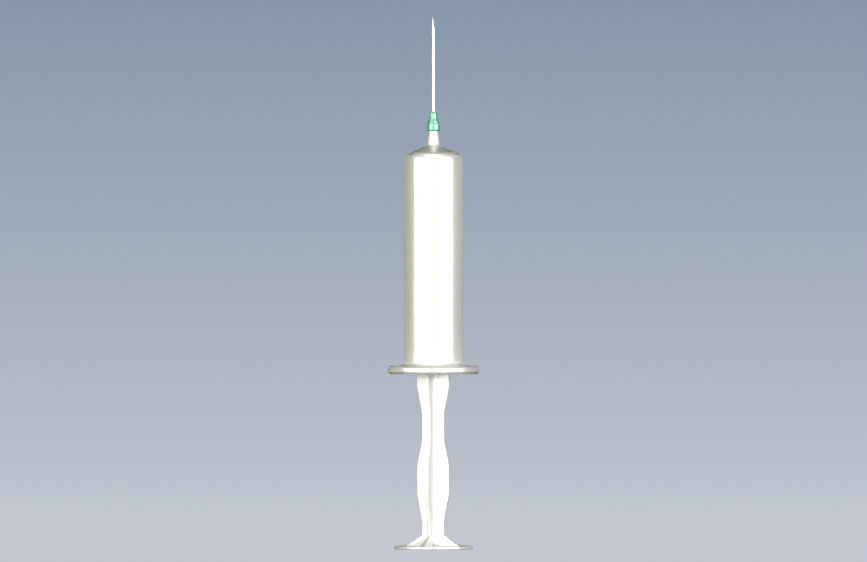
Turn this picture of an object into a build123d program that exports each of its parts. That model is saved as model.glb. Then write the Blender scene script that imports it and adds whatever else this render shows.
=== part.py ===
"""A 20 ml luer slip syringe with its needle fitted, drawn back and standing on its thumb rest.

Everything is turned about Z. Z = 0 is the flat underside of the thumb rest, and the needle points up.
Lengths are millimetres.
"""

import os
from math import cos, radians, sin, tan

from build123d import *

# Barrel
bore_diameter = 20.0
barrel_wall = 1.4
barrel_length = 84.45  # from the flange's underside to the sharp corner of the shoulder
shoulder_angle = 21.0  # above the horizontal
shoulder_round = 2.4
mouth_lead_in = 0.5  # how much further out than the bore the mouth starts
bead_height = 0.3  # how far the retaining bead at the end of the lead-in stands into the bore
bead_slope_length = 0.8  # from the crest up to the bore
bead_setback = 2.4  # from the flange's underside to the crest of the bead

# Finger flange
flange_overhang = 6.2  # beyond the barrel's outside
flange_thickness = 3.1
flange_top_chamfer = 0.7
flange_bottom_chamfer = 0.8
flange_root_round = 1.75

# Luer slip nozzle
nozzle_root_diameter = 4.8
nozzle_root_round = 1.2
nozzle_shank_length = 5.2  # the steep cone between the shoulder and the slip cone
slip_cone_length = 3.3
slip_cone_diameter = 3.9  # at its wide end
slip_taper = 0.06  # loss of diameter in each millimetre of length
nozzle_bore_diameter = 2.0
nozzle_tip_chamfer = 0.15

# Stopper
stopper_length = 10.4  # from its rear face to the foot of its front cone
seal_clearance = 0.03
seal_rib_width = 2.4
seal_groove_depth = 0.6
stopper_tip_diameter = 3.0
stopper_end_gap = 0.1  # between its cone and the shoulder when it is pushed home
lip_thickness = 2.2  # the rear wall of the stopper, behind which the rod's head is held
cavity_headroom = 0.5  # between the rod's head and the roof of the cavity

# Plunger rod
thumb_rest_diameter = 30.4
thumb_rest_thickness = 1.2
thumb_rest_chamfer = 0.3
closed_standoff = 7.5  # from the thumb rest's underside to the flange when the stopper is home
drawn_stroke = 59.9  # how far the plunger is drawn back from there
rib_thickness = 1.3
rib_root_round = 2.3
rib_turn = -23.0  # the cross of ribs is turned about Z, in degrees
rib_bore_gap = 3.38  # between the widest part of the ribs and the bore
waist_depth = 2.06
flare_height = 4.0
flare_setback = 4.2  # from the thumb rest's edge to the foot of the flare
lower_waist_length = 5.65
waist_length = 10.4
rib_taper_length = 10.0
wide_run_length = 11.2
guide_disc_thickness = 1.6
guide_disc_gap = 0.5  # between the guide disc and the bore
neck_diameter = 7.2
head_diameter = 11.0
head_tip_diameter = 7.4
head_length = 5.4
head_land = 1.4
head_clearance = 0.08  # all round the neck and head, so that they turn in the stopper

# Needle hub
hub_diameter = 5.0
hub_mouth_gap = 0.3  # from the wide end of the slip cone to the hub's mouth
hub_skirt_length = 3.2
hub_mouth_chamfer = 0.4
hub_ledge_chamfer = 0.2
hub_collar_diameter = 4.24
hub_collar_length = 0.8
hub_step_diameter = 3.44  # the lower step at the stem's foot
hub_step_length = 0.7
hub_stem_diameter = 2.7
hub_stem_length = 2.7
hub_rim_chamfer = 0.15
socket_clearance = 0.02
socket_headroom = 0.4  # between the nozzle's tip and the roof of the socket
glue_well_diameter = 1.9
glue_well_depth = 1.5

# Needle cannula
needle_diameter = 1.2
needle_bore_diameter = 0.8
needle_exposed_length = 38.2  # from the hub's rim to the point
bevel_angle = 8.4  # between the primary grind and the needle's axis
lancet_angle = 14.0  # between the two side grinds and the axis
lancet_turn = 32.0  # how far each side grind is turned about the axis
glue_meniscus = 0.3  # how far the adhesive climbs the needle above the rim

# Heights and radii that follow from the sizes above
slope = tan(radians(shoulder_angle))
bore_radius = bore_diameter / 2
barrel_radius = bore_radius + barrel_wall
flange_radius = barrel_radius + flange_overhang
flange_underside = closed_standoff + drawn_stroke
flange_top = flange_underside + flange_thickness
bead_crest = flange_underside + bead_setback
shoulder_corner = flange_underside + barrel_length
shoulder_rise = barrel_wall / cos(radians(shoulder_angle))  # the shoulder's wall, measured along Z

nozzle_root_radius = nozzle_root_diameter / 2
nozzle_root = shoulder_corner + (barrel_radius - nozzle_root_radius) * slope
nozzle_bore_radius = nozzle_bore_diameter / 2
slip_radius = slip_cone_diameter / 2
slip_start = nozzle_root + nozzle_shank_length
nozzle_tip = slip_start + slip_cone_length


def inner_shoulder(radius):
    """Height of the cone inside the barrel's shoulder at a radius."""
    return shoulder_corner + (barrel_radius - radius) * slope - shoulder_rise


def slip_cone(height):
    """Radius of the nozzle's slip cone at a height."""
    return slip_radius - (height - slip_start) * slip_taper / 2


stopper_radius = bore_radius - seal_clearance
stopper_foot = inner_shoulder(stopper_radius) - stopper_end_gap - drawn_stroke  # where its cone starts
stopper_rear = stopper_foot - stopper_length
stopper_tip_radius = stopper_tip_diameter / 2


def stopper_cone(radius):
    """Height of the stopper's front cone at a radius."""
    return stopper_foot + (stopper_radius - radius) * slope


stopper_tip = stopper_cone(stopper_tip_radius)

disc_front = stopper_rear - head_clearance
disc_back = disc_front - guide_disc_thickness
disc_radius = bore_radius - guide_disc_gap
head_start = stopper_rear + lip_thickness + head_clearance
neck_radius = neck_diameter / 2
head_radius = head_diameter / 2
head_tip_radius = head_tip_diameter / 2
cavity_roof = head_start + head_length + cavity_headroom
thumb_rest_radius = thumb_rest_diameter / 2
wide_radius = bore_radius - rib_bore_gap
waist_radius = wide_radius - waist_depth
flare_radius = thumb_rest_radius - flare_setback

hub_radius = hub_diameter / 2
hub_mouth = slip_start + hub_mouth_gap
hub_ledge = hub_mouth + hub_skirt_length
hub_collar_top = hub_ledge + hub_collar_length
hub_stem_start = hub_collar_top + hub_step_length
hub_rim = hub_stem_start + hub_stem_length
hub_stem_radius = hub_stem_diameter / 2
hub_collar_radius = hub_collar_diameter / 2
hub_step_radius = hub_step_diameter / 2
socket_roof = nozzle_tip + socket_headroom
glue_well_floor = hub_rim - glue_well_depth
glue_well_radius = glue_well_diameter / 2
needle_radius = needle_diameter / 2
needle_point = hub_rim + needle_exposed_length
grind_reach = 2 * needle_diameter / tan(radians(bevel_angle))


def outline(corners):
    """Closed outline through corners given as radius, height and rounding."""
    FilletPolyline(
        *[(radius, height) for radius, height, _ in corners],
        radius=[rounding for _, _, rounding in corners],
        close=True,
    )


def rib_edge():
    """Reach and height of each bend in a rib's free edge, from the thumb rest up to the guide disc.

    Waists and wide runs take turns, and the last wide run goes on to the guide disc.
    """
    height = thumb_rest_thickness
    bends = [(flare_radius, height)]
    height += flare_height
    bends.append((waist_radius, height))
    height += lower_waist_length
    bay = wide_run_length + waist_length + 2 * rib_taper_length
    full_bays = int((disc_back - height - rib_taper_length) // bay)
    for _ in range(full_bays):
        for reach, run in ((waist_radius, rib_taper_length), (wide_radius, wide_run_length),
                           (wide_radius, rib_taper_length), (waist_radius, waist_length)):
            bends.append((reach, height))
            height += run
    bends.append((waist_radius, height))
    bends.append((wide_radius, height + rib_taper_length))
    bends.append((wide_radius, disc_back))
    return bends


# Barrel: tube, shoulder, nozzle and flange are one moulding
with BuildPart() as barrel:
    with BuildSketch(Plane.XZ) as barrel_section:
        with BuildLine():
            outline([
                (bore_radius + mouth_lead_in, flange_underside, 0),
                (flange_radius - flange_bottom_chamfer, flange_underside, 0),
                (flange_radius, flange_underside + flange_bottom_chamfer, 0),
                (flange_radius, flange_top - flange_top_chamfer, 0),
                (flange_radius - flange_top_chamfer, flange_top, 0),
                (barrel_radius, flange_top, flange_root_round),
                (barrel_radius, shoulder_corner, shoulder_round),
                (nozzle_root_radius, nozzle_root, nozzle_root_round),
                (slip_radius, slip_start, 0),
                (slip_cone(nozzle_tip - nozzle_tip_chamfer), nozzle_tip - nozzle_tip_chamfer, 0),
                (slip_cone(nozzle_tip) - nozzle_tip_chamfer, nozzle_tip, 0),
                (nozzle_bore_radius, nozzle_tip, 0),
                (nozzle_bore_radius, inner_shoulder(nozzle_bore_radius), 0),
                (bore_radius, inner_shoulder(bore_radius), 0),
                (bore_radius, bead_crest + bead_slope_length, 0),
                (bore_radius - bead_height, bead_crest, 0),
            ])
        make_face()
    revolve(axis=Axis.Z)

# Stopper: two sealing ribs, a cone to match the shoulder, and a cavity for the rod's head
with BuildPart() as stopper:
    groove_radius = stopper_radius - seal_groove_depth
    groove_start = stopper_rear + seal_rib_width
    groove_end = stopper_foot - seal_rib_width
    with BuildSketch(Plane.XZ) as stopper_section:
        with BuildLine():
            outline([
                (neck_radius + head_clearance, stopper_rear, 0),
                (stopper_radius, stopper_rear, 0),
                (stopper_radius, groove_start, 0),
                (groove_radius, groove_start + seal_groove_depth, 0),
                (groove_radius, groove_end - seal_groove_depth, 0),
                (stopper_radius, groove_end, 0),
                (stopper_radius, stopper_foot, 0),
                (stopper_tip_radius, stopper_tip, 0),
                (0, stopper_tip, 0),
                (0, cavity_roof, 0),
                (head_tip_radius + head_clearance, cavity_roof, 0),
                (head_radius + head_clearance, head_start + head_land + head_clearance, 0),
                (head_radius + head_clearance, stopper_rear + lip_thickness, 0),
                (neck_radius + head_clearance, stopper_rear + lip_thickness, 0),
            ])
        make_face()
    revolve(axis=Axis.Z)

# Plunger rod: thumb rest, cross of ribs, guide disc, neck and head are one moulding
with BuildPart() as plunger_rod:
    with BuildSketch(Plane.XY.offset(thumb_rest_thickness).rotated((0, 0, rib_turn))) as rib_cross:
        Rectangle(2 * thumb_rest_radius, rib_thickness)
        Rectangle(rib_thickness, 2 * thumb_rest_radius)
        fillet(rib_cross.vertices().sort_by_distance((0, 0, 0))[:4], rib_root_round)
    extrude(amount=disc_back - thumb_rest_thickness)
    for side in (0, 90):
        with BuildSketch(Plane.XZ.rotated((0, 0, rib_turn + side))) as rib_side:
            with BuildLine():
                right_edge = rib_edge()
                left_edge = [(-reach, height) for reach, height in reversed(right_edge)]
                Polyline(*right_edge, *left_edge, close=True)
            make_face()
        extrude(amount=thumb_rest_radius, both=True, mode=Mode.INTERSECT)
    with BuildSketch(Plane.XZ) as thumb_rest_section:
        with BuildLine():
            outline([
                (0, 0, 0),
                (thumb_rest_radius - thumb_rest_chamfer, 0, 0),
                (thumb_rest_radius, thumb_rest_chamfer, 0),
                (thumb_rest_radius, thumb_rest_thickness - thumb_rest_chamfer, 0),
                (thumb_rest_radius - thumb_rest_chamfer, thumb_rest_thickness, 0),
                (0, thumb_rest_thickness, 0),
            ])
        make_face()
    revolve(axis=Axis.Z)
    with BuildSketch(Plane.XZ) as head_section:
        with BuildLine():
            outline([
                (0, disc_back, 0),
                (disc_radius, disc_back, 0),
                (disc_radius, disc_front, 0),
                (neck_radius, disc_front, 0),
                (neck_radius, head_start, 0),
                (head_radius, head_start, 0),
                (head_radius, head_start + head_land, 0),
                (head_tip_radius, head_start + head_length, 0),
                (0, head_start + head_length, 0),
            ])
        make_face()
    revolve(axis=Axis.Z)

# Needle hub: the socket below sits on the slip cone, and the well above holds the adhesive
with BuildPart() as needle_hub:
    with BuildSketch(Plane.XZ) as hub_section:
        with BuildLine():
            outline([
                (slip_cone(hub_mouth) + socket_clearance, hub_mouth, 0),
                (hub_radius - hub_mouth_chamfer, hub_mouth, 0),
                (hub_radius, hub_mouth + hub_mouth_chamfer, 0),
                (hub_radius, hub_ledge - hub_ledge_chamfer, 0),
                (hub_radius - hub_ledge_chamfer, hub_ledge, 0),
                (hub_collar_radius, hub_ledge, 0),
                (hub_collar_radius, hub_collar_top, 0),
                (hub_step_radius, hub_collar_top, 0),
                (hub_step_radius, hub_stem_start, 0),
                (hub_stem_radius, hub_stem_start, 0),
                (hub_stem_radius, hub_rim - hub_rim_chamfer, 0),
                (hub_stem_radius - hub_rim_chamfer, hub_rim, 0),
                (glue_well_radius, hub_rim, 0),
                (glue_well_radius, glue_well_floor, 0),
                (needle_radius, glue_well_floor, 0),
                (needle_radius, socket_roof, 0),
                (slip_cone(socket_roof) + socket_clearance, socket_roof, 0),
            ])
        make_face()
    revolve(axis=Axis.Z)

# Adhesive: a ring that fills the glue well and climbs the needle a little
with BuildPart() as needle_adhesive:
    with BuildSketch(Plane.XZ) as adhesive_section:
        with BuildLine():
            outline([
                (needle_radius, glue_well_floor, 0),
                (glue_well_radius, glue_well_floor, 0),
                (glue_well_radius, hub_rim, 0),
                (needle_radius, hub_rim + glue_meniscus, 0),
            ])
        make_face()
    revolve(axis=Axis.Z)

# Needle: a tube with a long primary grind that faces +X, and two side grinds that sharpen its point
with BuildPart() as needle_cannula:
    with BuildSketch(Plane.XY.offset(socket_roof)) as cannula_section:
        Circle(needle_radius)
        Circle(needle_bore_diameter / 2, mode=Mode.SUBTRACT)
    extrude(amount=needle_point - socket_roof)
    for angle, turn in ((bevel_angle, 0), (lancet_angle, lancet_turn), (lancet_angle, -lancet_turn)):
        tilt = radians(angle)
        facing = Vector(cos(tilt), 0, sin(tilt)).rotate(Axis.Z, turn)
        with BuildSketch(Plane(origin=(-needle_radius, 0, needle_point), z_dir=facing)) as grind:
            Rectangle(2 * grind_reach, 2 * grind_reach)
        extrude(amount=grind_reach, mode=Mode.SUBTRACT)

os.makedirs("parts", exist_ok=True)
barrel.part.label = "barrel"
export_step(barrel.part, "parts/barrel.step")
stopper.part.label = "stopper"
export_step(stopper.part, "parts/stopper.step")
plunger_rod.part.label = "plunger_rod"
export_step(plunger_rod.part, "parts/plunger_rod.step")
needle_hub.part.label = "needle_hub"
export_step(needle_hub.part, "parts/needle_hub.step")
needle_adhesive.part.label = "needle_adhesive"
export_step(needle_adhesive.part, "parts/needle_adhesive.step")
needle_cannula.part.label = "needle_cannula"
export_step(needle_cannula.part, "parts/needle_cannula.step")

# The plunger's travel from rest, for its joint
travel_home = drawn_stroke
travel_out = stopper_rear - (bead_crest + bead_slope_length)
print("plunger travel: home", round(travel_home, 3), "out", round(travel_out, 3))
print("flange underside", round(flange_underside, 3), "needle point", round(needle_point, 3))
print("stopper rear", round(stopper_rear, 3), "tip", round(stopper_tip, 3))
print("inner shoulder at the bore", round(inner_shoulder(bore_radius), 3))
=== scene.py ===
# %% [markdown]
# A syringe is three mouldings and a needle: a glossy barrel, a cross-ribbed plunger rod, a rubber stopper out
# of sight, and a steel tube glued into a green hub. The imported model already holds each of them at its true
# place, so this lesson starts by loading it and keeping its box.

# %% Load the imported syringe
import math

import bmesh
import bpy
from mathutils import Matrix, Vector


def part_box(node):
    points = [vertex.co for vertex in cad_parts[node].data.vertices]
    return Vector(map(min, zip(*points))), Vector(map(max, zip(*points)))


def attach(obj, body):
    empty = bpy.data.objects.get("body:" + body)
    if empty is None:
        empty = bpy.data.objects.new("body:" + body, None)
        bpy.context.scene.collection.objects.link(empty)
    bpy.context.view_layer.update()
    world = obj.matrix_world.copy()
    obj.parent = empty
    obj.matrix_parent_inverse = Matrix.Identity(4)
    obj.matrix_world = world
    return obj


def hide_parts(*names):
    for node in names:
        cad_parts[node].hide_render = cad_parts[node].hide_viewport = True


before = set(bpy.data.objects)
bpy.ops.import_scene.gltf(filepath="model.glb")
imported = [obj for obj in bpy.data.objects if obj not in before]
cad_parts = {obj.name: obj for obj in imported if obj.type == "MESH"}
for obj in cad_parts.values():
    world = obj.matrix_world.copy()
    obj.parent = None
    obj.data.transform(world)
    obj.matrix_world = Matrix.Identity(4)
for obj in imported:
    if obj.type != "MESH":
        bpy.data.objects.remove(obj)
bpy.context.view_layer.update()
MM = 0.001
print("nodes:", sorted(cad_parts))

# %% [markdown]
# The syringe is seen in parallel projection, level with its middle. An orthographic camera would do, but a
# very long lens from far away gives almost the same picture, and it can move back for a longer pose.

# %% Camera
PICTURE_WIDTH = 867
MIDDLE_ROW = 281
FLOOR_ROW = 549  # where the underside of the thumb rest stands
MM_PER_PIXEL = 0.385
LENS = 500
SENSOR = 36

camera_data = bpy.data.cameras.new("camera")
camera_data.lens = LENS
camera_data.sensor_width = SENSOR
camera = bpy.data.objects.new("camera", camera_data)
bpy.context.scene.collection.objects.link(camera)
bpy.context.scene.camera = camera
camera_distance = PICTURE_WIDTH * MM_PER_PIXEL * MM * LENS / SENSOR
camera_height = (FLOOR_ROW - MIDDLE_ROW) * MM_PER_PIXEL * MM
camera.location = (0, -camera_distance, camera_height)
camera.rotation_euler = (math.radians(90), 0, 0)
camera_data.clip_end = 2 * camera_distance
print("camera", round(camera_distance, 3), "m away and", round(camera_height, 3), "m up")

# %% [markdown]
# A photographer lights glossy white plastic twice. Soft lights, which are kept out of the reflections, give
# the roundness: white in the middle and grey at the sides, a little warmer on the left. Panels that are only
# reflected give the gloss: two tall ones make the pair of upright highlights on the hub, a weak one between
# them and one overhead carry the highlight over the shoulder, and two dim ones behind brighten the rims. In
# Blender each is an area light, and its ray visibility says which of the two jobs it has.

# %% Soft lights
LIGHT_DISTANCE = 3.0


def soft_light(name, place, size, level, colour=(1, 1, 1), mirrored=False):
    """A panel that faces the syringe from a place, which is its azimuth and elevation in degrees.

    A white wall turned to it is lit to the level, or mirrors it.
    """
    light_data = bpy.data.lights.new(name, "AREA")
    light_data.shape = "RECTANGLE"
    light_data.size, light_data.size_y = size
    light_data.energy = level * (math.pi * LIGHT_DISTANCE) ** 2
    light_data.color = colour
    light = bpy.data.objects.new(name, light_data)
    bpy.context.scene.collection.objects.link(light)
    turn, lift = (math.radians(angle) for angle in place)
    towards = Vector((math.sin(turn) * math.cos(lift), -math.cos(turn) * math.cos(lift), math.sin(lift)))
    light.location = LIGHT_DISTANCE * towards + Vector((0, 0, camera_height))
    light.rotation_euler = towards.to_track_quat("Z", "Y").to_euler()
    light.visible_camera = False
    light.visible_diffuse = not mirrored
    light.visible_glossy = mirrored


WARM = (1.0, 1.0, 0.78)
soft_light("left_light", place=(-22, 6), size=(1.0, 0.8), level=0.41, colour=WARM)
soft_light("right_light", place=(26, 6), size=(1.0, 0.8), level=0.46)
soft_light("back_left_light", place=(-150, 15), size=(1.0, 0.8), level=0.3)
soft_light("back_right_light", place=(150, 15), size=(1.0, 0.8), level=0.3)
soft_light("left_panel", place=(-47, 5), size=(3.6, 1.6), level=3.0, mirrored=True)
soft_light("right_panel", place=(47, 5), size=(3.6, 1.6), level=4.0, mirrored=True)
soft_light("middle_panel", place=(0, 5), size=(1.7, 1.6), level=0.25, mirrored=True)
soft_light("top_panel", place=(0, 52), size=(3.6, 3.6), level=2.3, mirrored=True)
soft_light("back_left_panel", place=(-148, 5), size=(3.4, 1.6), level=0.065, colour=WARM, mirrored=True)
soft_light("back_right_panel", place=(148, 5), size=(3.4, 1.6), level=0.07, mirrored=True)
bpy.context.scene.view_settings.view_transform = "Standard"

# %% [markdown]
# Every finish below is a tree of shader nodes. Such a tree could be wired node by node, but that is long and
# hard to read, so a socket is wrapped in a small class that adds, subtracts and multiplies like a number. An
# expression then adds its own Math nodes.

# %% Sockets that take part in sums


class Signal:
    """An output socket of a shader tree, used like a number."""

    def __init__(self, shader, socket):
        self.shader = shader
        self.socket = socket

    def maths(self, operation, *values):
        """A Math node on sockets and numbers."""
        return self.shader.node("ShaderNodeMath", {"operation": operation}, dict(enumerate(values)))

    def __add__(self, other):
        return self.maths("ADD", self, other)

    def __sub__(self, other):
        return self.maths("SUBTRACT", self, other)

    def __rsub__(self, other):
        return self.maths("SUBTRACT", other, self)

    def __mul__(self, other):
        return self.maths("MULTIPLY", self, other)

    def __truediv__(self, other):
        return self.maths("DIVIDE", self, other)

    def __abs__(self):
        return self.maths("ABSOLUTE", self)

    def clamped(self):
        """The value, held between 0 and 1."""
        return self.maths("MINIMUM", self.maths("MAXIMUM", self, 0), 1)

    def above(self, start, blend):
        """0 up to the start and 1 from one blend further on."""
        return ((self - start) / blend).clamped()

    __radd__ = __add__
    __rmul__ = __mul__


print("signals add, subtract, multiply and divide")

# %% [markdown]
# Noise, a mix of colours or a bump isn't a sum, so its node is asked for by its kind. Each could be added and
# wired in lines of its own, but those would bury the finish, so one method adds any of them. A Mix node has
# sockets for numbers, vectors and colours under the same names, so those for colours go by number.

# %% Trees of shader nodes
MIX_FACTOR = 0
MIX_FIRST = 6
MIX_SECOND = 7
MIX_RESULT = 2


class Shader:
    """A tree of shader nodes, which are added by what asks for them."""

    def __init__(self, tree):
        self.tree = tree

    def node(self, kind, settings=None, sockets=None, out=0):
        """Adds a node: its settings first, then a value or a link for each socket."""
        made = self.tree.nodes.new(kind)
        for name, value in (settings or {}).items():
            setattr(made, name, value)
        for name, value in (sockets or {}).items():
            if isinstance(value, Signal):
                self.tree.links.new(value.socket, made.inputs[name])
            else:
                made.inputs[name].default_value = value
        return Signal(self, made.outputs[out])

    def colours(self, factor, first, second):
        """A colour that goes from the first to the second as the factor goes from 0 to 1."""
        sockets = {MIX_FACTOR: factor, MIX_FIRST: first, MIX_SECOND: second}
        for slot in (MIX_FIRST, MIX_SECOND):
            if not isinstance(sockets[slot], Signal):
                sockets[slot] = (*sockets[slot], 1)
        return self.node("ShaderNodeMix", {"data_type": "RGBA"}, sockets, out=MIX_RESULT)

    def axis(self, place, letter):
        """One coordinate of a place."""
        return self.node("ShaderNodeSeparateXYZ", sockets={0: place}, out=letter)


print("a shader tree adds nodes of any kind, mixes colours and takes a place apart")

# %% [markdown]
# The backdrop goes from a cool grey above to a paler one at the foot. It could be a painted wall, but a
# world needs no mesh. A long lens sees only a thin slice of it round the horizon. The rest of the room is
# dim and neutral, so that the sides of the barrel turn grey and not blue, and no part of it is mirrored,
# because the panels alone make the gloss.

# %% Surroundings
SLICE = MIDDLE_ROW * MM_PER_PIXEL * MM / camera_distance  # height of a direction at the picture's top edge
TOP_TONE = (0.243, 0.305, 0.401)
MIDDLE_TONE = (0.376, 0.429, 0.515)
FOOT_TONE = (0.544, 0.571, 0.639)
ROOM_TONE = (0.12, 0.115, 0.1)
ROOM_START = 0.08
ROOM_BLEND = 0.1

world = bpy.data.worlds.new("surroundings")
bpy.context.scene.world = world
world.use_nodes = True
world.cycles_visibility.glossy = False
sky = Shader(world.node_tree)
rise = sky.axis(sky.node("ShaderNodeTexCoord", out="Generated"), "Z")
lower_half = sky.colours(rise.above(-SLICE, SLICE), FOOT_TONE, MIDDLE_TONE)
backdrop = sky.colours(rise.above(0, SLICE), lower_half, TOP_TONE)
sky_colour = sky.colours(abs(rise).above(ROOM_START, ROOM_BLEND), backdrop, ROOM_TONE)
world.node_tree.links.new(sky_colour.socket, world.node_tree.nodes["Background"].inputs["Color"])
print("the picture takes in directions up to", round(SLICE, 4), "above the horizon")

# %% [markdown]
# By hand, a modeller clicks the vertices that the next operator works on. A script can't click, and the
# numbers of vertices change with every step, so a helper picks them by their place. A shape is begun from a
# lone vertex, which a plane becomes when its corners are merged, and grows by extrusion.

# %% Picking and extruding
NEAR = 0.002  # millimetres within which a vertex counts as being at a place


def pick(piece, test):
    """In edit mode, selects the vertices whose place in millimetres passes the test."""
    mesh = bmesh.from_edit_mesh(piece.data)
    bpy.ops.mesh.select_all(action="DESELECT")
    for vertex in mesh.verts:
        vertex.select_set(bool(test(vertex.co / MM)))
    mesh.select_flush(True)
    bmesh.update_edit_mesh(piece.data)


def start_chain(name, corner):
    """Adds a piece that is one vertex at a corner in millimetres, and opens it for editing."""
    bpy.ops.object.select_all(action="DESELECT")
    bpy.ops.mesh.primitive_plane_add(size=MM, location=Vector(corner) * MM)
    piece = bpy.context.object
    piece.name = name
    bpy.ops.object.transform_apply(location=True)
    bpy.ops.object.mode_set(mode="EDIT")
    bpy.ops.mesh.select_mode(type="VERT")
    bpy.ops.mesh.merge(type="CENTER")
    return piece


def extrude_by(step):
    """Extrudes what is selected by a step in millimetres."""
    bpy.ops.mesh.extrude_region_move(TRANSFORM_OT_translate={"value": Vector(step) * MM})


print("a vertex is picked within", NEAR, "mm")

# %% [markdown]
# A mould has no perfectly sharp corner, and a round catches the light. A bevel modifier on the finished piece
# would round every edge alike, so each corner of a profile is bevelled to a radius of its own. What was spun
# or copied is then merged where it meets, and shaded smooth across all but its steep edges.

# %% Rounding and smoothing
ARC_STEP = 13  # degrees of a round that one face takes up
SMOOTH_UNDER = 28  # degrees: steeper edges stay sharp
TINY = 1e-6  # metres within which two vertices are one


def round_corner(piece, before, corner, after, radius):
    """Rounds one corner of a chain of edges to a radius in millimetres."""
    turn = (Vector(corner) - Vector(before)).angle(Vector(after) - Vector(corner))
    pick(piece, lambda place: (place - Vector(corner)).length < NEAR)
    reach = radius * math.tan(turn / 2)
    segments = max(2, round(math.degrees(turn) / ARC_STEP))
    bpy.ops.mesh.bevel(offset=reach * MM, segments=segments, affect="VERTICES", clamp_overlap=False)


def close_and_smooth(piece):
    """Merges what meets, turns the faces outwards and smooths all but the sharp edges."""
    bpy.ops.mesh.select_all(action="SELECT")
    bpy.ops.mesh.remove_doubles(threshold=TINY)
    bpy.ops.mesh.delete_loose(use_verts=True, use_edges=True, use_faces=False)
    bpy.ops.mesh.select_all(action="SELECT")
    bpy.ops.mesh.normals_make_consistent(inside=False)
    bpy.ops.object.mode_set(mode="OBJECT")
    bpy.ops.object.shade_smooth_by_angle(angle=math.radians(SMOOTH_UNDER))


print("rounds have a face for every", ARC_STEP, "degrees")

# %% [markdown]
# Nearly every piece of a syringe is turned about one axis. A Screw modifier could turn a profile too, but a
# spin does it at once, as a lathe does: the tool moves along a profile, and the piece goes round. A profile
# that starts on the axis makes a solid, and any other one is closed first and makes a ring.

# %% Turned pieces
TURN_STEPS = 96  # faces round a full turn, where a piece asks for no other number


def turned(name, profile, steps=TURN_STEPS):
    """Spins a profile about Z. Each of its corners is a radius, a height and a rounding, in mm."""
    corners = [(radius, 0, height) for radius, height, _ in profile]
    on_axis = profile[0][0] == 0
    piece = start_chain(name, corners[0])
    for before, corner in zip(corners, corners[1:]):
        extrude_by(Vector(corner) - Vector(before))
    if not on_axis:
        ends = [Vector(corners[0]), Vector(corners[-1])]
        pick(piece, lambda place: min((place - end).length for end in ends) < NEAR)
        bpy.ops.mesh.edge_face_add()
    for index, (_, _, rounding) in enumerate(profile):
        if rounding:
            before, after = corners[index - 1], corners[(index + 1) % len(corners)]
            round_corner(piece, before, corners[index], after, rounding)
    bpy.ops.mesh.select_all(action="SELECT")
    bpy.ops.mesh.spin(steps=steps, angle=2 * math.pi, center=(0, 0, 0), axis=(0, 0, 1), use_auto_merge=True)
    close_and_smooth(piece)
    return piece


print("a full turn has", TURN_STEPS, "faces")

# %% [markdown]
# A finished piece takes the place of the plain solid of the imported model, and moves with the same body. It
# could keep its modifiers live, but applied ones leave exactly the finished mesh. Weighted normals
# come last: they shade the flat faces flat and let the small rounds between them carry the whole turn.

# %% Modifiers and seats


def apply_modifier(piece, name, kind, **settings):
    """Adds a modifier with its settings and applies it."""
    bpy.context.view_layer.objects.active = piece
    modifier = piece.modifiers.new(name, kind)
    for setting, value in settings.items():
        setattr(modifier, setting, value)
    bpy.ops.object.modifier_apply(modifier=name)


def seat(piece, body, slot, *nodes):
    """Puts a finished piece on its body in place of its CAD nodes."""
    apply_modifier(piece, "even_shading", "WEIGHTED_NORMAL", keep_sharp=True)
    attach(piece, body)
    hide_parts(*nodes)
    low, high = (Vector(corner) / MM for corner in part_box(nodes[0]))
    faces = len(piece.data.polygons)
    print(piece.name, faces, "faces, in the place of", nodes, "from", round(low.z, 2), "to", round(high.z, 2))


# %% [markdown]
# The barrel is one moulding: tube, finger flange, shoulder and nozzle. Cylinders and cones could be stacked
# for it, but they would leave faces inside, so one profile runs round both the outside and the bore. The
# mould left no sharp edge: each corner of the flange gets a tiny round, and the shoulder and the roots of
# flange and nozzle get the larger ones that are seen.

# %% Barrel
flange_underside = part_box("barrel")[0][2] / MM
nozzle_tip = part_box("barrel")[1][2] / MM
flange_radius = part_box("barrel")[1][0] / MM
barrel_radius = 11.4
barrel_length = 84.45  # from the flange's underside to the sharp corner of the shoulder
bore_radius = 10.0
barrel_wall = barrel_radius - bore_radius
flange_thickness = 3.1
flange_top = flange_underside + flange_thickness
flange_root_round = 1.75
top_chamfer = 0.7
underside_chamfer = 0.8
shoulder_corner = flange_underside + barrel_length
shoulder_angle = math.radians(21)
shoulder_slope = math.tan(shoulder_angle)
shoulder_round = 2.4
shoulder_wall = barrel_wall / math.cos(shoulder_angle)
nozzle_root_radius = 2.4
nozzle_root = shoulder_corner + (barrel_radius - nozzle_root_radius) * shoulder_slope
nozzle_root_round = 1.2
slip_radius = 1.95
slip_length = 3.3
slip_start = nozzle_tip - slip_length
tip_radius = 1.85
nozzle_bore_radius = 1.0
bead_height = 0.3
bead_slope_length = 0.8
bead_setback = 2.4  # from the flange's underside to the crest of the bead
bead_crest = flange_underside + bead_setback
mouth_lead_in = 0.5
mouth_radius = bore_radius + mouth_lead_in
rim_break = 0.12


def inner_shoulder(radius):
    """Height of the cone inside the shoulder at a radius."""
    return shoulder_corner + (barrel_radius - radius) * shoulder_slope - shoulder_wall


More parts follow.
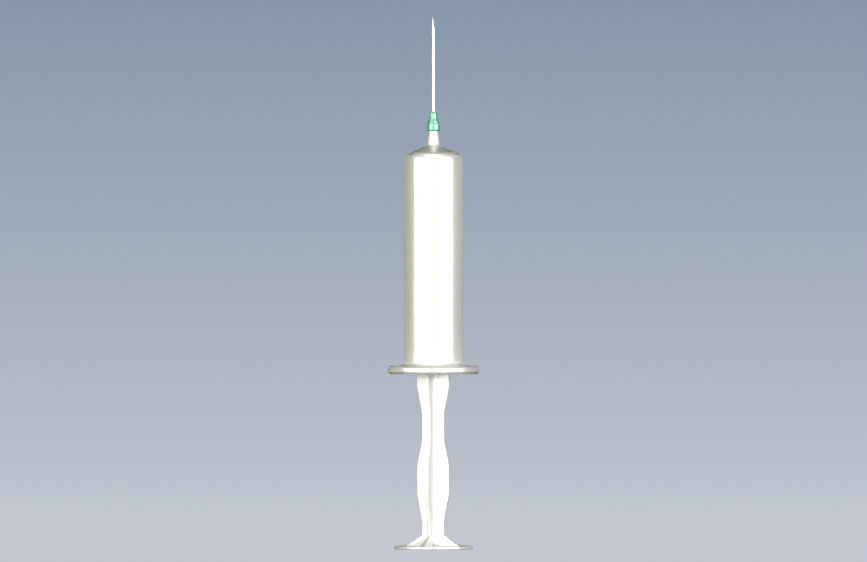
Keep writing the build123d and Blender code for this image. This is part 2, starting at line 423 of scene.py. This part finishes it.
barrel_shell = turned("barrel_shell", [
    (mouth_radius, flange_underside, 0.2),
    (flange_radius - underside_chamfer, flange_underside, rim_break),
    (flange_radius, flange_underside + underside_chamfer, rim_break),
    (flange_radius, flange_top - top_chamfer, rim_break),
    (flange_radius - top_chamfer, flange_top, rim_break),
    (barrel_radius, flange_top, flange_root_round),
    (barrel_radius, shoulder_corner, shoulder_round),
    (nozzle_root_radius, nozzle_root, nozzle_root_round),
    (slip_radius, slip_start, 0.6),
    (tip_radius, nozzle_tip, 0.15),
    (nozzle_bore_radius, nozzle_tip, 0.1),
    (nozzle_bore_radius, inner_shoulder(nozzle_bore_radius), 0.3),
    (bore_radius, inner_shoulder(bore_radius), 0.2),
    (bore_radius, bead_crest + bead_slope_length, 0.3),
    (bore_radius - bead_height, bead_crest, 0.4),
], steps=128)
seat(barrel_shell, "barrel", "barrel_plastic", "barrel")

# %% [markdown]
# The plunger rod is a cross of four thin ribs, which saves plastic and keeps it stiff. Two crossed plates
# could be joined, but their hollows need a round where they meet. So one quarter of the cross is drawn:
# half a rib's free edge, the hollow between two ribs, and half the next free edge.

# %% Quarter of the cross
thumb_rest_thickness = 1.2
half_rib = 0.65
rib_root_round = 2.3
rib_edge_round = 0.22
flare_reach = 11.0
seat_depth = 0.4  # how far the ribs run into the discs at their ends
ribs_foot = thumb_rest_thickness - seat_depth
quarter = [
    (flare_reach, 0, ribs_foot),
    (flare_reach, half_rib, ribs_foot),
    (half_rib, half_rib, ribs_foot),
    (half_rib, flare_reach, ribs_foot),
    (0, flare_reach, ribs_foot),
]
rod_ribs = start_chain("rod_ribs", quarter[0])
for before, corner in zip(quarter, quarter[1:]):
    extrude_by(Vector(corner) - Vector(before))
for index, rounding in ((1, rib_edge_round), (2, rib_root_round), (3, rib_edge_round)):
    round_corner(rod_ribs, quarter[index - 1], quarter[index], quarter[index + 1], rounding)
print("the quarter starts", round(ribs_foot, 2), "mm up, inside the thumb rest")

# %% [markdown]
# Along the rod the ribs flare out to the thumb rest, run in for a waist and out for a wide run. Each run
# could be a body of its own, but then the ribs would show seams. So the quarter is extruded upwards from bend
# to bend, and at each bend its free edges are moved in or out.

# %% Bends of the ribs
disc_back = 78.82
waist_reach = 4.56
wide_reach = 6.62
EDGE_BAND = 1  # a vertex this near to the shorter reach, or further out, is on a free edge
rib_bends = [  # reach of the ribs and height of each bend, from the thumb rest to the guide disc
    (flare_reach, ribs_foot),
    (flare_reach, thumb_rest_thickness),
    (waist_reach, 5.2),
    (waist_reach, 10.85),
    (wide_reach, 20.85),
    (wide_reach, 32.05),
    (waist_reach, 42.05),
    (waist_reach, 52.45),
    (wide_reach, 62.45),
    (wide_reach, disc_back + seat_depth),
]
for (reach, height), (next_reach, next_height) in zip(rib_bends, rib_bends[1:]):
    pick(rod_ribs, lambda place: abs(place.z - height) < NEAR)
    extrude_by((0, 0, next_height - height))
    free_edge = min(reach, next_reach) - EDGE_BAND
    for axis in (0, 1):
        pick(rod_ribs, lambda place: abs(place.z - next_height) < NEAR and place[axis] > free_edge)
        move = Vector((0, 0, 0))
        move[axis] = (next_reach - reach) * MM
        bpy.ops.transform.translate(value=move)
print("the ribs bend at", [round(height, 2) for _, height in rib_bends[1:-1]], "mm")

# %% [markdown]
# Three copies complete the cross. A spin that duplicates makes them in one step, where a mirror would have to
# be used twice. The two open ends get a face each, and the whole cross is turned to where it stands. Without
# a window, Blender's rotate operator turns the other way, so the angle is given with its sign changed.

# %% Whole cross
rib_turn = -23  # degrees about Z
bpy.ops.mesh.select_all(action="SELECT")
bpy.ops.mesh.spin(dupli=True, steps=3, angle=math.radians(270), center=(0, 0, 0), axis=(0, 0, 1))
bpy.ops.mesh.select_all(action="SELECT")
bpy.ops.mesh.remove_doubles(threshold=TINY)
for height in (rib_bends[0][1], rib_bends[-1][1]):
    pick(rod_ribs, lambda place: abs(place.z - height) < NEAR)
    bpy.ops.mesh.edge_face_add()
bpy.ops.mesh.select_all(action="SELECT")
bpy.ops.transform.rotate(value=-math.radians(rib_turn), orient_axis="Z", center_override=(0, 0, 0))
close_and_smooth(rod_ribs)
print("ribs", len(rod_ribs.data.polygons), "faces")

# %% [markdown]
# The thumb rest below and the guide disc, neck and head above are turned. They could just be pushed into the
# ribs, but they are one moulding, so a union joins them and no face is left inside.

# %% Thumb rest and head
thumb_rest_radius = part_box("plunger_rod")[1][0] / MM
rod_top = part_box("plunger_rod")[1][2] / MM
disc_front = 80.42
guide_disc_radius = 9.5
neck_radius = 3.6
head_radius = 5.5
head_nose_radius = 3.7
head_back = 82.78  # where the neck ends and the head stands out over it
head_land = 84.18  # where the head's cone starts
thumb_rest = turned("thumb_rest", [
    (0, 0, 0),
    (thumb_rest_radius, 0, 0.35),
    (thumb_rest_radius, thumb_rest_thickness, 0.35),
    (0, thumb_rest_thickness, 0),
])
rod_head = turned("rod_head", [
    (0, disc_back, 0),
    (guide_disc_radius, disc_back, 0.2),
    (guide_disc_radius, disc_front, 0.2),
    (neck_radius, disc_front, 0),
    (neck_radius, head_back, 0),
    (head_radius, head_back, 0.2),
    (head_radius, head_land, 0.4),
    (head_nose_radius, rod_top, 0.4),
    (0, rod_top, 0),
])
for other in (thumb_rest, rod_head):
    apply_modifier(rod_ribs, "union", "BOOLEAN", operation="UNION", solver="EXACT", object=other)
    bpy.data.objects.remove(other)
print("rod", len(rod_ribs.data.polygons), "faces")

# %% [markdown]
# Four ejector pins push the rod out of its mould. Each leaves a round mark, a hair below the surface, on the
# thumb rest between two ribs. A bump could fake it, but a real step also catches the light from the side.
# One pin is a short cylinder, three copies of it are turned into place, and a difference takes each away.

# %% Ejector marks
pin_radius = 1.4
pin_reach = 8.6  # from the axis to the middle of a mark
mark_depth = 0.08
turn = math.radians(rib_turn + 45)  # halfway between two ribs
middle = Vector((pin_reach * math.cos(turn), pin_reach * math.sin(turn), thumb_rest_thickness))
bpy.ops.object.select_all(action="DESELECT")
bpy.ops.mesh.primitive_cylinder_add(
    vertices=40,
    radius=pin_radius * MM,
    depth=2 * mark_depth * MM,
    location=middle * MM,
)
bpy.ops.object.transform_apply(location=True)
pins = [bpy.context.object]
for _ in range(3):
    bpy.ops.object.duplicate(linked=False)
    bpy.ops.transform.rotate(value=-math.radians(90), orient_axis="Z", center_override=(0, 0, 0))
    bpy.ops.object.transform_apply(location=True, rotation=True)
    pins.append(bpy.context.object)
for pin in pins:
    apply_modifier(rod_ribs, "mark", "BOOLEAN", operation="DIFFERENCE", solver="EXACT", object=pin)
    bpy.data.objects.remove(pin)
print("ejector marks", mark_depth, "mm deep")
rod_moulding = rod_ribs
rod_moulding.name = "rod_moulding"
seat(rod_moulding, "plunger", "rod_plastic", "plunger_rod")

# %% [markdown]
# The needle hub is turned too. Below is the socket that sits on the nozzle, above is the well that holds
# the adhesive. The steps between skirt, collar and stem could be softened by a bevel modifier, but they
# catch the light as bright and dark bands, so they stay square and only their edges are broken.

# %% Needle hub
hub_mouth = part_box("needle_hub")[0][2] / MM
hub_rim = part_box("needle_hub")[1][2] / MM
skirt_radius = 2.5
skirt_length = 3.2
hub_ledge = hub_mouth + skirt_length
collar_radius = 2.12
collar_length = 0.8
collar_top = hub_ledge + collar_length
step_radius = 1.72
step_length = 0.7
stem_start = collar_top + step_length
stem_radius = 1.35
mouth_chamfer = 0.4
ledge_chamfer = 0.2
rim_chamfer = 0.15
edge_break = 0.05
socket_mouth_radius = 1.961
socket_roof_radius = 1.859
socket_headroom = 0.4  # between the nozzle's tip and the roof of the socket
socket_roof = nozzle_tip + socket_headroom
well_radius = 0.95
well_depth = 1.5
glue_floor = hub_rim - well_depth
needle_radius = 0.6

hub_shell = turned("hub_shell", [
    (socket_mouth_radius, hub_mouth, edge_break),
    (skirt_radius - mouth_chamfer, hub_mouth, edge_break),
    (skirt_radius, hub_mouth + mouth_chamfer, edge_break),
    (skirt_radius, hub_ledge - ledge_chamfer, edge_break),
    (skirt_radius - ledge_chamfer, hub_ledge, edge_break),
    (collar_radius, hub_ledge, edge_break),
    (collar_radius, collar_top, edge_break),
    (step_radius, collar_top, edge_break),
    (step_radius, stem_start, edge_break),
    (stem_radius, stem_start, edge_break),
    (stem_radius, hub_rim - rim_chamfer, edge_break),
    (stem_radius - rim_chamfer, hub_rim, edge_break),
    (well_radius, hub_rim, 0),
    (well_radius, glue_floor, 0),
    (needle_radius, glue_floor, 0),
    (needle_radius, socket_roof, 0),
    (socket_roof_radius, socket_roof, 0),
])
seat(hub_shell, "needle", "hub_plastic", "needle_hub")

# %% [markdown]
# The needle is a steel tube, ground on three planes through its point: one long grind, then two short ones
# that sharpen its sides. A Boolean with a wedge would cut it too, but a bisect cuts the tube as a grinding
# wheel does, in one flat plane, and fills the cut. The direction of each plane is kept, because the ground
# faces get a finish of their own.

# %% Needle cannula
needle_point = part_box("needle_cannula")[1][2] / MM
needle_bore_radius = 0.4
grinds = ((8.4, 0), (14, 32), (14, -32))  # degrees from the axis, and degrees turned about it

needle_tube = turned("needle_tube", [
    (needle_bore_radius, socket_roof, 0),
    (needle_radius, socket_roof, 0),
    (needle_radius, needle_point, 0),
    (needle_bore_radius, needle_point, 0),
], steps=64)
bpy.ops.object.mode_set(mode="EDIT")
grind_normals = []
for angle, turn in grinds:
    tilt = math.radians(angle)
    facing = Matrix.Rotation(math.radians(turn), 3, "Z") @ Vector((math.cos(tilt), 0, math.sin(tilt)))
    grind_normals.append(facing)
    bpy.ops.mesh.select_all(action="SELECT")
    bpy.ops.mesh.bisect(
        plane_co=Vector((-needle_radius, 0, needle_point)) * MM,
        plane_no=facing,
        use_fill=True,
        clear_outer=True,
        threshold=TINY / 10,
    )
close_and_smooth(needle_tube)
seat(needle_tube, "needle", "needle_steel", "needle_cannula")

# %% [markdown]
# Now the finishes. Each is a Principled surface. A pattern could follow a UV map, but these pieces have no
# seams to follow, so each reads Object coordinates, and its pattern stays on the piece when that moves.

# %% Finish helper


class Finish(Shader):
    """A material with one Principled surface."""

    def __init__(self, name, **surface):
        self.material = bpy.data.materials.new(name)
        self.material.use_nodes = True
        super().__init__(self.material.node_tree)
        self.surface = self.tree.nodes["Principled BSDF"]
        for socket, value in surface.items():
            self.surface.inputs[socket.replace("_", " ")].default_value = value
        self.place = self.node("ShaderNodeTexCoord", out="Object")
        self.x, self.y, self.z = (self.axis(self.place, letter) / MM for letter in "XYZ")

    def feed(self, socket, signal):
        """Links a signal to a socket of the surface."""
        self.tree.links.new(signal.socket, self.surface.inputs[socket])

    def grain(self, size, detail=2.0, stretch=(1, 1, 1)):
        """Noise whose lumps are about one size across in mm, drawn out along X, Y and Z."""
        scale = [1 / (size * MM * s) for s in stretch]
        point = self.node("ShaderNodeMapping", sockets={"Vector": self.place, "Scale": scale})
        return self.node("ShaderNodeTexNoise", sockets={"Vector": point, "Scale": 1.0, "Detail": detail})

    def relief(self, height, depth, under=None):
        """A normal that follows a height from 0 to 1, as deep as the depth in mm."""
        sockets = {"Height": height, "Strength": 1.0, "Distance": depth * MM}
        if under:
            sockets["Normal"] = under
        return self.node("ShaderNodeBump", sockets=sockets)

    def bands(self, coordinate, lines):
        """1 along each line across a coordinate, given by its place and its half width in mm."""
        total = 0
        for place, half_width in lines:
            total = total + (2 - 2 * abs(coordinate - place) / half_width).clamped()
        return total.clamped()

    def wear(self, piece):
        """Gives the finish to a piece."""
        piece.data.materials.clear()
        piece.data.materials.append(self.material)
        print(self.material.name, "has", len(self.tree.nodes), "nodes")


# %% [markdown]
# Polypropylene from a polished mould is glossy but never a perfect mirror. The skin has a very shallow
# orange peel, the core that formed the bore leaves faint draw lines, and handling leaves a few fine scuffs,
# seen only in the gloss. Where two inserts of the mould meet, a fine matt witness line runs round the
# barrel. All this could be painted in a picture, but noise and heights need no file and stay sharp close up.
# A clear coat with its own roughness doubles the gloss without making the surface a mirror.

# %% Barrel plastic
WITNESS_HALF_WIDTH = 0.19
barrel_plastic = Finish("barrel_plastic", IOR=1.49, Coat_Roughness=0.1)
peel = barrel_plastic.grain(0.9, detail=3)
draw_lines = barrel_plastic.grain(0.35, detail=2, stretch=(1, 1, 60))
clouds = barrel_plastic.grain(14, detail=3)
scuffs = barrel_plastic.grain(0.5, detail=4, stretch=(1, 1, 14)).above(0.62, 0.1)
insert_joints = [
    flange_underside + underside_chamfer,
    flange_top - top_chamfer,
    flange_top + 1.7,
    shoulder_corner - 1.6,
    shoulder_corner + 0.75,
    nozzle_root - 0.35,
    nozzle_root + 0.6,
]
witness = barrel_plastic.bands(barrel_plastic.z, [(joint, WITNESS_HALF_WIDTH) for joint in insert_joints])
body_colour = barrel_plastic.colours(clouds, (0.88, 0.875, 0.84), (0.92, 0.915, 0.88))
barrel_plastic.feed("Base Color", barrel_plastic.colours(witness, body_colour, (0.72, 0.72, 0.7)))
barrel_plastic.feed("Roughness", 0.17 + 0.09 * peel + 0.05 * draw_lines + 0.12 * scuffs + 0.4 * witness)
barrel_plastic.feed("Coat Weight", 1 - witness)
skin = barrel_plastic.relief(draw_lines, 0.004, barrel_plastic.relief(peel, 0.012))
barrel_plastic.feed("Normal", barrel_plastic.relief(witness, 0.03, skin))
barrel_plastic.wear(barrel_shell)

# %% [markdown]
# The rod is moulded fast and seen little, so its tool is less polished. The plastic flowed along the ribs
# and left long faint streaks, and where the two halves of the mould closed, a thin flash line runs along
# the free edges of one pair of ribs. A modelled ridge would be finer than a pixel, so a band across one
# coordinate, turned with the ribs, draws it.

# %% Rod plastic
rod_plastic = Finish("rod_plastic", IOR=1.49)
flow = rod_plastic.grain(1.6, detail=3, stretch=(1, 1, 9))
rod_skin = rod_plastic.grain(0.5, detail=2)
rib_angle = math.radians(rib_turn)
across_ribs = rod_plastic.y * math.cos(rib_angle) - rod_plastic.x * math.sin(rib_angle)
flash_line = rod_plastic.bands(across_ribs, [(0, 0.09)])
rod_colour = rod_plastic.colours(flow, (0.91, 0.91, 0.895), (0.95, 0.95, 0.94))
rod_plastic.feed("Base Color", rod_plastic.colours(0.2 * flash_line, rod_colour, (0.6, 0.6, 0.58)))
rod_plastic.feed("Roughness", 0.26 + 0.12 * flow)
rod_skin_relief = rod_plastic.relief(flow, 0.02, rod_plastic.relief(rod_skin, 0.005))
rod_plastic.feed("Normal", rod_plastic.relief(flash_line, 0.04, rod_skin_relief))
rod_plastic.wear(rod_moulding)

# %% [markdown]
# The hub's green shows the needle's gauge. Its pigment is mixed into clear plastic and swirls a little, so
# the green is uneven. The mould is polished but for the steps, where the tool was left matt, so they read as
# dark bands between the highlights. A second material could do that, but a band that fades at its edges
# looks moulded. The hub stays uncoated, so its gloss is weaker than the barrel's.

# %% Hub plastic
hub_plastic = Finish("hub_plastic", IOR=1.49)
swirl = hub_plastic.grain(0.8, detail=3)
hub_skin = hub_plastic.grain(0.25, detail=2)
matt_bands = hub_plastic.bands(hub_plastic.z, [
    (hub_mouth + mouth_chamfer, 0.5),
    (hub_ledge - ledge_chamfer / 2, 0.3),
    (stem_start - 0.5, 0.75),
    (hub_rim - 0.3, 0.5),
])
green = hub_plastic.colours(swirl, (0.075, 0.6, 0.32), (0.095, 0.7, 0.39))
hub_plastic.feed("Base Color", hub_plastic.colours(matt_bands, green, (0.055, 0.36, 0.21)))
hub_plastic.feed("Roughness", 0.1 + 0.07 * swirl + 0.4 * matt_bands)
hub_plastic.feed("Normal", hub_plastic.relief(swirl, 0.006, hub_plastic.relief(hub_skin, 0.002)))
hub_plastic.wear(hub_shell)

# %% [markdown]
# The tube was drawn through a die, which leaves fine lines along it, and then polished. A fully metallic
# surface shows nothing but reflections, and on so thin a tube they sparkle, so it is only half metallic. The
# lines could be cut into the mesh, but they are finer than a pixel, so noise stretched along the tube does.

# %% Needle steel
needle_steel = Finish("needle_steel", Metallic=0.5)
drawn = needle_steel.grain(0.05, detail=2, stretch=(1, 1, 120))
needle_steel.feed("Base Color", needle_steel.colours(drawn, (0.42, 0.42, 0.41), (0.52, 0.52, 0.51)))
needle_steel.feed("Roughness", 0.42 + 0.12 * drawn)
needle_steel.feed("Normal", needle_steel.relief(drawn, 0.001))
needle_steel.wear(needle_tube)

# %% [markdown]
# The point was ground after the tube was drawn, across those lines, so the ground faces get a second finish.
# They could be picked by hand, but here they are found by their normals, which the grinding step kept.

# %% Ground steel
ALIGNED = 0.999  # cosine of the angle within which a face counts as ground
ground_steel = Finish("ground_steel", Metallic=0.5)
wheel_marks = ground_steel.grain(0.04, detail=2, stretch=(1, 25, 1))
ground_steel.feed("Base Color", ground_steel.colours(wheel_marks, (0.4, 0.41, 0.42), (0.5, 0.5, 0.5)))
ground_steel.feed("Roughness", 0.34 + 0.15 * wheel_marks)
ground_steel.feed("Normal", ground_steel.relief(wheel_marks, 0.002))
needle_tube.data.materials.append(ground_steel.material)
ground = 0
for face in needle_tube.data.polygons:
    if max(face.normal.dot(facing) for facing in grind_normals) > ALIGNED:
        face.material_index = 1
        ground += 1
print(ground, "ground faces")

# %% [markdown]
# Two CAD pieces keep their shape and only get a finish: the stopper, of dark rubber with a matt skin and a
# film of oil, and the ring of epoxy in the hub, which hardened with a slight ripple. They could be modelled
# again, but the barrel and the hub hide nearly all of them.

# %% Stopper rubber and adhesive
stopper_rubber = Finish("stopper_rubber", IOR=1.52)
mould_skin = stopper_rubber.grain(0.7, detail=3)
oil = stopper_rubber.grain(5, detail=2)
rubber_colour = stopper_rubber.colours(mould_skin, (0.012, 0.012, 0.013), (0.022, 0.022, 0.024))
stopper_rubber.feed("Base Color", rubber_colour)
stopper_rubber.feed("Roughness", 0.22 + 0.2 * mould_skin + 0.2 * oil)
stopper_rubber.feed("Normal", stopper_rubber.relief(mould_skin, 0.02))
stopper_rubber.wear(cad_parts["stopper"])

needle_epoxy = Finish("needle_epoxy", IOR=1.55)
ripple = needle_epoxy.grain(0.4, detail=2)
needle_epoxy.feed("Base Color", needle_epoxy.colours(ripple, (0.7, 0.68, 0.58), (0.8, 0.78, 0.68)))
needle_epoxy.feed("Roughness", 0.08 + 0.06 * ripple)
needle_epoxy.feed("Normal", needle_epoxy.relief(ripple, 0.01))
needle_epoxy.wear(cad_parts["needle_adhesive"])

# %% [markdown]
# The floor is plain pale paper. A square plane would show its far edge, so it is a disc that fades out, and
# it has no horizon. Most of its brightness is its own, so that it meets the backdrop's tone at the foot. It
# throws no light back on the syringe and isn't mirrored in it.

# %% Floor
FLOOR_RADIUS = 1.6
FADE_START = 0.15
bpy.ops.object.select_all(action="DESELECT")
bpy.ops.mesh.primitive_circle_add(vertices=96, radius=FLOOR_RADIUS, fill_type="NGON", location=(0, 0, 0))
floor = bpy.context.object
floor.name = "floor"
floor.visible_diffuse = False
floor.visible_glossy = False
paper = Finish("floor_paper", Roughness=0.75, Specular_IOR_Level=0.0, Emission_Strength=1.0)
paper_grain = paper.grain(3.0, detail=3)
paper.feed("Base Color", paper.colours(paper_grain, (0.11, 0.115, 0.125), (0.13, 0.135, 0.145)))
paper.surface.inputs["Emission Color"].default_value = (0.49, 0.52, 0.588, 1)
radius = paper.node("ShaderNodeVectorMath", {"operation": "LENGTH"}, {0: paper.place}, out="Value")
paper.feed("Alpha", 1 - radius.above(FADE_START, FLOOR_RADIUS - FADE_START))
paper.wear(floor)
